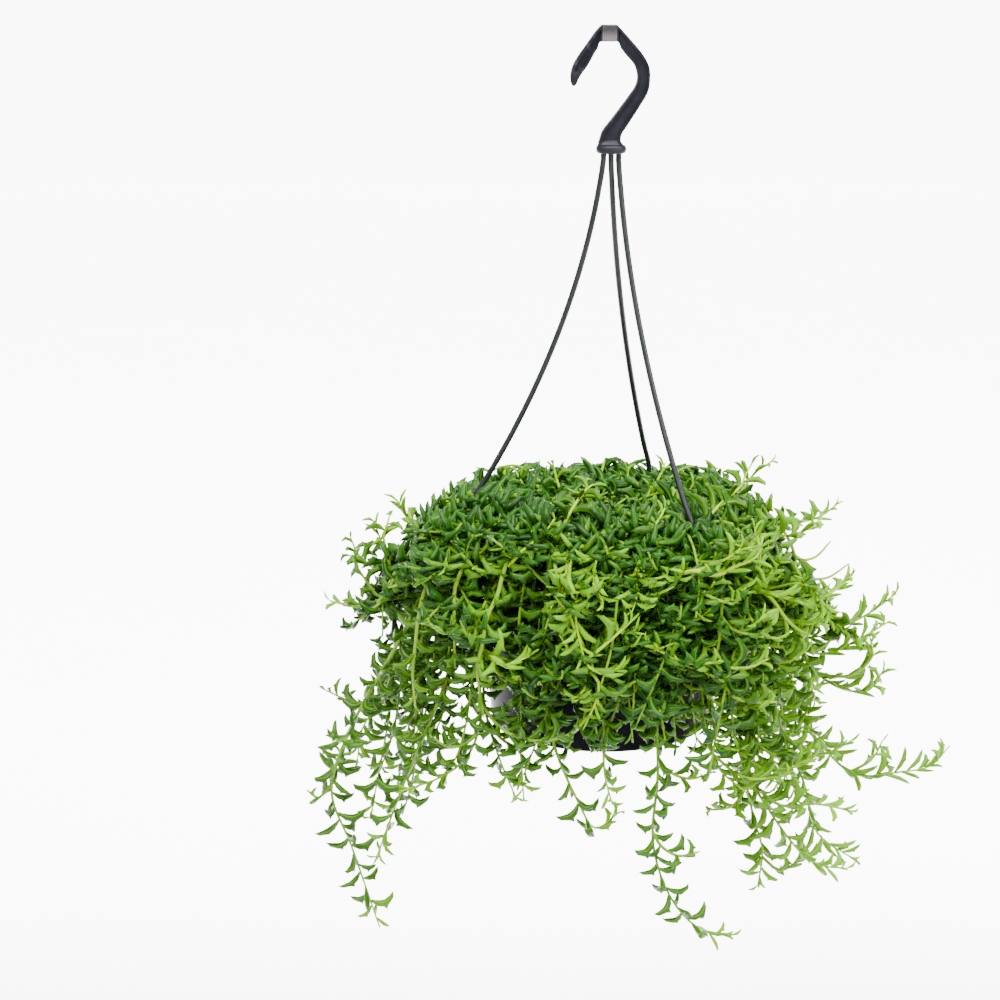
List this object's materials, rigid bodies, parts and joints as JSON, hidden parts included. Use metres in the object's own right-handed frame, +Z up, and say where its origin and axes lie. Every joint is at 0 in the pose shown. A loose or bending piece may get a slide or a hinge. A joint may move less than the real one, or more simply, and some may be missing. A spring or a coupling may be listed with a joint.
{
  "type": "potted hanging succulent",
  "caption": "Charcoal plastic hanging pot on a hook and a strand hanger, full of trailing string of dolphins stems that spill over its rim.",
  "frame": {"origin": "middle of the flat saddle inside the top of the hook, where the whole thing hangs", "axes": "+Z up along the pot's own axis, +X to the right and +Y away from the front, where the longest stems spread to the left and right"},
  "size_m": [0.4129, 0.2632, 0.5621],
  "materials": {
    "charcoal_plastic": "satin",
    "hook_plastic": "satin",
    "strand_plastic": "satin",
    "potting_soil": "matte",
    "crown_leaves": "satin",
    "trailing_leaves": "satin"
  },
  "bodies": {
    "root": {"pot": "charcoal_plastic", "soil": "potting_soil", "hook": "hook_plastic", "hanger_left": "strand_plastic", "hanger_back": "strand_plastic", "hanger_right": "strand_plastic", "crown": "crown_leaves", "trail_outer_left": "trailing_leaves", "trail_left_mid": "trailing_leaves", "trail_left_inner": "trailing_leaves", "trail_left_cut": "trailing_leaves", "trail_left_swing": "trailing_leaves", "trail_front_left_a": "trailing_leaves", "trail_front_left_b": "trailing_leaves", "trail_front_a": "trailing_leaves", "trail_front_b": "trailing_leaves", "trail_front_long": "trailing_leaves", "trail_right_low": "trailing_leaves", "trail_right_hook": "trailing_leaves", "trail_right_short": "trailing_leaves", "trail_right_long": "trailing_leaves", "trail_side_long": "trailing_leaves", "trail_side_curl": "trailing_leaves", "trail_far_reach": "trailing_leaves", "trail_side_short": "trailing_leaves", "trail_top_left": "trailing_leaves", "trail_rim_left": "trailing_leaves", "bunch_a": "trailing_leaves", "bunch_b": "trailing_leaves", "bunch_c": "trailing_leaves", "bunch_d": "trailing_leaves", "bunch_e": "trailing_leaves", "bunch_f": "trailing_leaves", "bunch_g": "trailing_leaves", "bunch_h": "trailing_leaves", "bunch_i": "trailing_leaves", "bunch_j": "trailing_leaves", "bunch_k": "trailing_leaves", "bunch_l": "trailing_leaves", "bunch_m": "trailing_leaves", "bunch_n": "trailing_leaves", "back_01": "trailing_leaves", "back_02": "trailing_leaves", "back_03": "trailing_leaves", "back_04": "trailing_leaves", "back_05": "trailing_leaves", "back_06": "trailing_leaves", "back_07": "trailing_leaves", "back_08": "trailing_leaves", "back_09": "trailing_leaves"}
  },
  "joints": []
}
